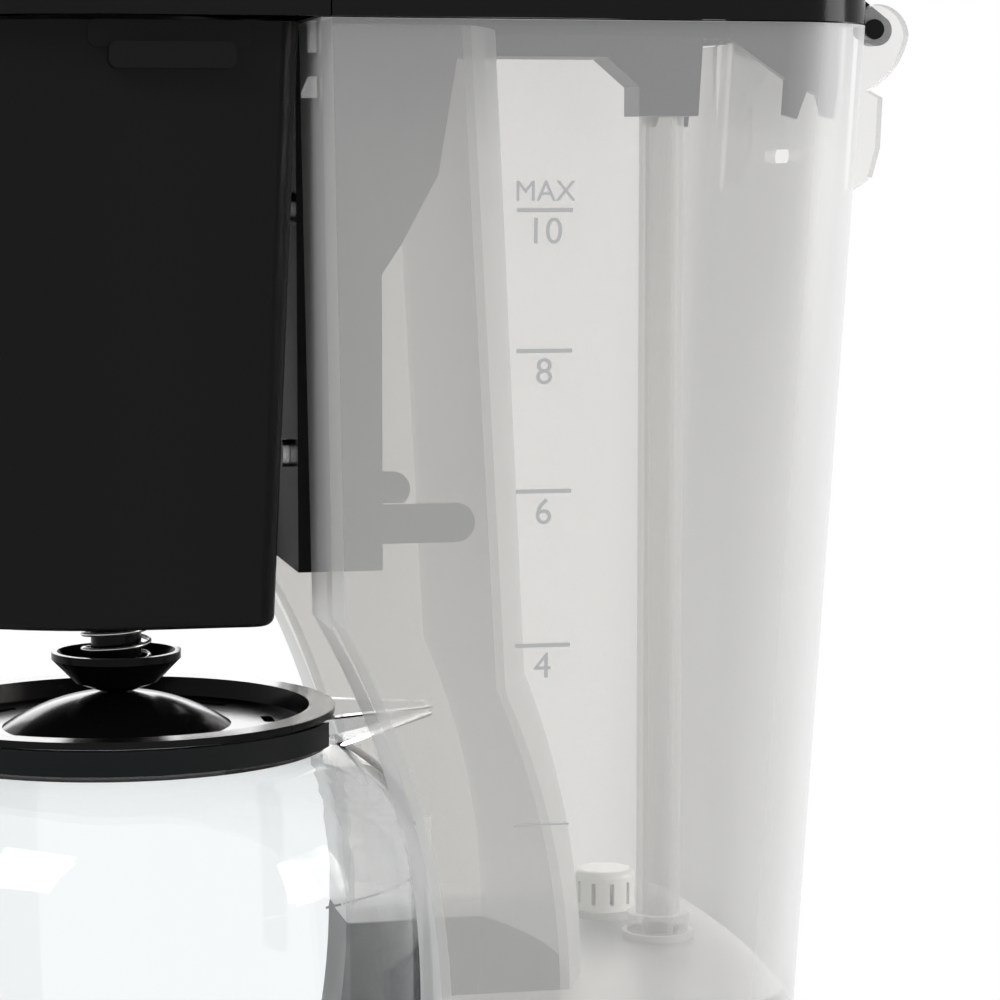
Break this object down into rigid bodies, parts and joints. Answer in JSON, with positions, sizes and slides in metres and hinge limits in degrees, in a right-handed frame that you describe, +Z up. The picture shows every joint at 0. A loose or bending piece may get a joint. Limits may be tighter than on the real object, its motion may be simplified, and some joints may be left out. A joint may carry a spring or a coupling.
{
  "type": "filter coffee maker",
  "caption": "Drip coffee maker with a clear tank wrapped round its glass carafe, a rear-hinged tank lid, a swing-out filter holder with a drip stop and a rocker switch.",
  "frame": {"origin": "on the table under the middle of the whole", "axes": "+Z up, -Y the front where the carafe's handle points, +X the side with the holder's finger grip"},
  "size_m": [0.137, 0.268, 0.3364],
  "materials": {
    "black_plastic": "satin",
    "gloss_black": "gloss",
    "frosted_tank": "satin translucent",
    "dark_plastic": "matt",
    "white_plastic": "satin",
    "rubber_foot": "matt",
    "silicone": "matt",
    "steel": "satin",
    "plate_steel": "non-stick coating",
    "aluminium_part": "satin",
    "glass": "clear"
  },
  "bodies": {
    "frame": {"base_shell": "black_plastic", "base_plate": "black_plastic", "feet": "rubber_foot", "base_screws": "steel", "hot_plate": "plate_steel", "plate_seal": "silicone", "heating_tube": "aluminium_part", "heater_clamp": "steel", "thermostat": "steel", "thermal_fuse": "steel", "heat_spreader": "aluminium_part", "one_way_valve": "white_plastic", "inlet_hose": "silicone", "outlet_hose": "silicone", "hose_clips": "steel", "tank": "frosted_tank", "riser_tube": "frosted_tank", "tank_seals": "silicone", "tank_strainer": "white_plastic", "riser_hood": "black_plastic", "top_cover": "gloss_black", "spray_duct": "black_plastic", "spray_plate": "plate_steel", "bracket": "gloss_black", "bracket_screws": "steel", "holder_pin": "steel", "switch_body": "black_plastic", "cord_inlet": "black_plastic"},
    "lid": {"tank_lid": "gloss_black"},
    "holder": {"filter_holder": "gloss_black", "filter_basket": "black_plastic", "valve_seal": "silicone"},
    "drip_stop": {"drip_valve": "gloss_black", "valve_spring": "steel"},
    "carafe": {"carafe_glass": "glass", "carafe_collar": "dark_plastic", "carafe_handle": "gloss_black", "handle_screw": "steel"},
    "carafe_cover": {"carafe_lid": "gloss_black"},
    "switch": {"switch_rocker": "gloss_black"}
  },
  "joints": [
    {"name": "tank_lid_hinge", "type": "hinge", "parent": "frame", "child": "lid", "pos_m": [0, 0.1266, 0.3257], "axis": [-1, 0, 0], "range_deg": [0, 80]},
    {"name": "holder_swing", "type": "hinge", "parent": "frame", "child": "holder", "pos_m": [-0.054, 0.0024, 0.2084], "axis": [0, 0, -1], "range_deg": [0, 80]},
    {"name": "drip_stop_slide", "type": "slide", "parent": "holder", "child": "drip_stop", "axis": [0, 0, 1], "range_m": [0, 0.003], "stiffness_N_per_m": 120, "springref_m": -0.003, "deforming": ["valve_spring"]},
    {"name": "carafe_slide", "type": "slide", "parent": "frame", "child": "carafe", "axis": [0, -1, 0], "range_m": [0, 0.2]},
    {"name": "carafe_lid_twist", "type": "hinge", "parent": "carafe", "child": "carafe_cover", "pos_m": [0, -0.023, 0.184], "axis": [0, 0, 1], "range_deg": [0, 60]},
    {"name": "switch_rock", "type": "hinge", "parent": "frame", "child": "switch", "pos_m": [0, -0.0892, 0.025], "axis": [-1, 0, 0], "range_deg": [0, 14]}
  ]
}
